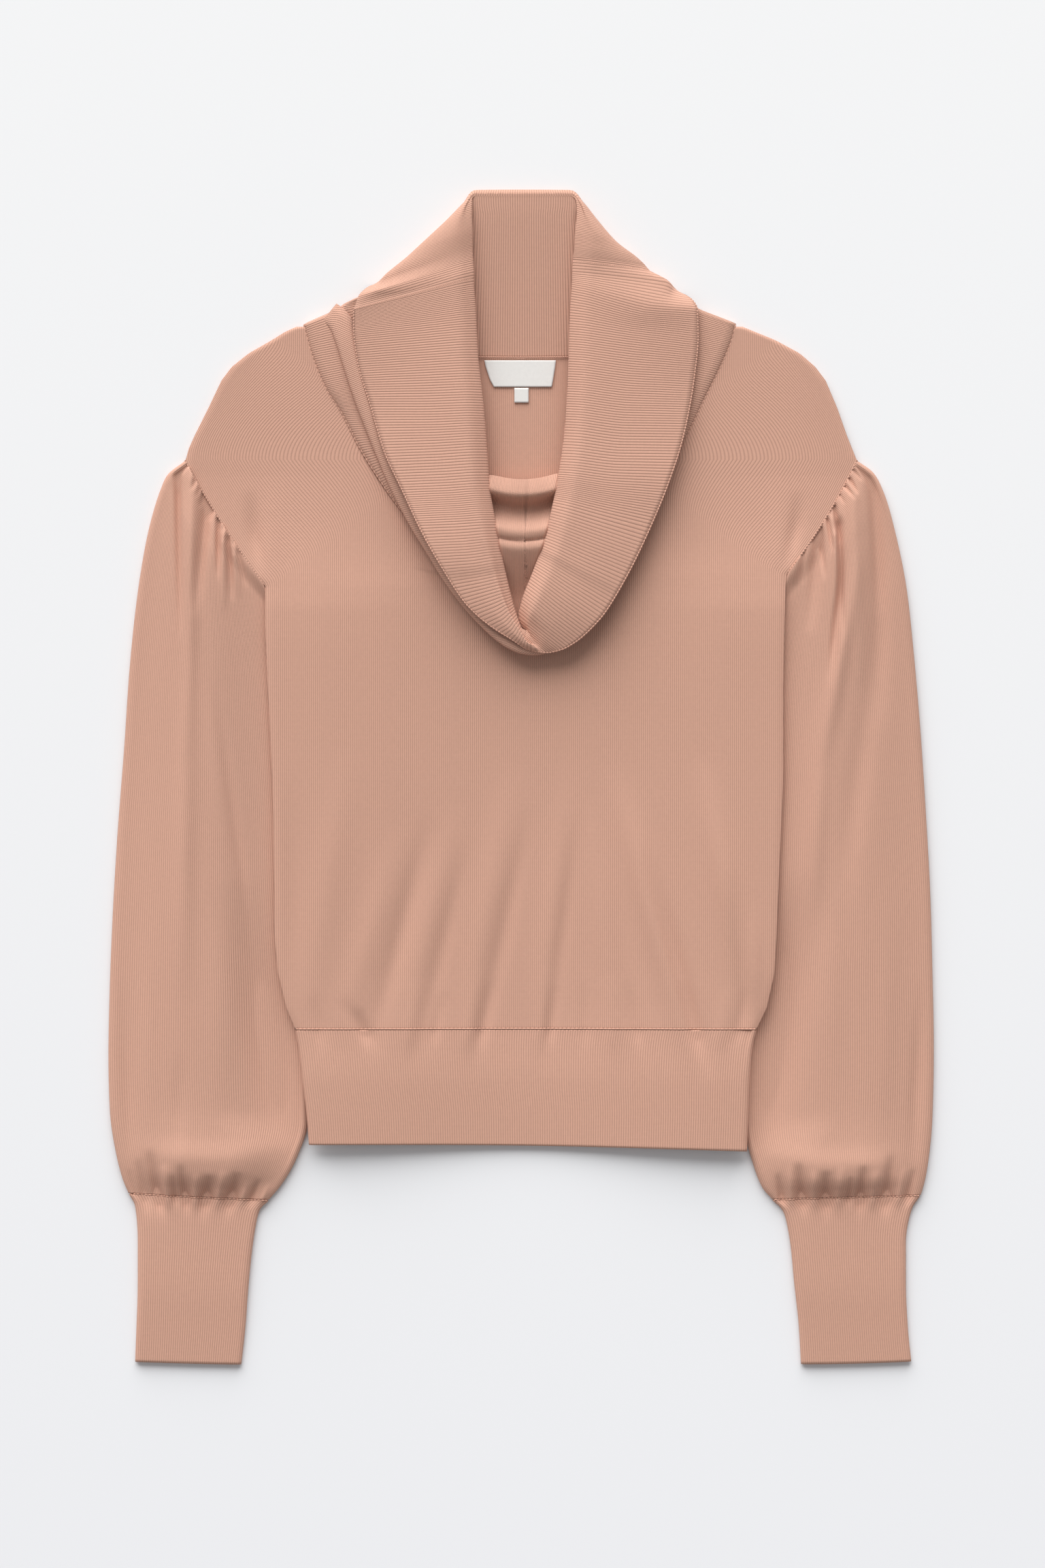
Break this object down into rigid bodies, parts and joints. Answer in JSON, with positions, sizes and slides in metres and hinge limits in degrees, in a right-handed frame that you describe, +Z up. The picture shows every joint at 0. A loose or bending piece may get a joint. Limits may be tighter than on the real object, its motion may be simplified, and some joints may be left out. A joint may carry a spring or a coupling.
{
  "type": "cowl neck pullover",
  "caption": "Long-sleeved fine-knit pullover laid flat, with a folded ribbed cowl collar, gathered full sleeves, deep ribbed cuffs and a deep ribbed waistband.",
  "frame": {"origin": "on the surface the garment lies on, under the middle of its outline", "axes": "+Y from the hem towards the collar, +X to the viewer's right when seen from above, +Z up out of the front of the garment"},
  "size_m": [0.5811, 0.8288, 0.0199],
  "materials": {
    "jersey_knit": "matt fine plain knit",
    "rib_knit": "matt fine rib knit",
    "label_cloth": "smooth woven tape"
  },
  "bodies": {
    "root": {"front_panel": "jersey_knit", "back_panel": "jersey_knit", "sleeve_left": "jersey_knit", "sleeve_right": "jersey_knit", "cuff_left": "rib_knit", "cuff_right": "rib_knit", "waistband": "rib_knit", "collar_front": "rib_knit", "collar_back": "rib_knit", "neck_label": "label_cloth", "size_label": "label_cloth"}
  },
  "joints": []
}
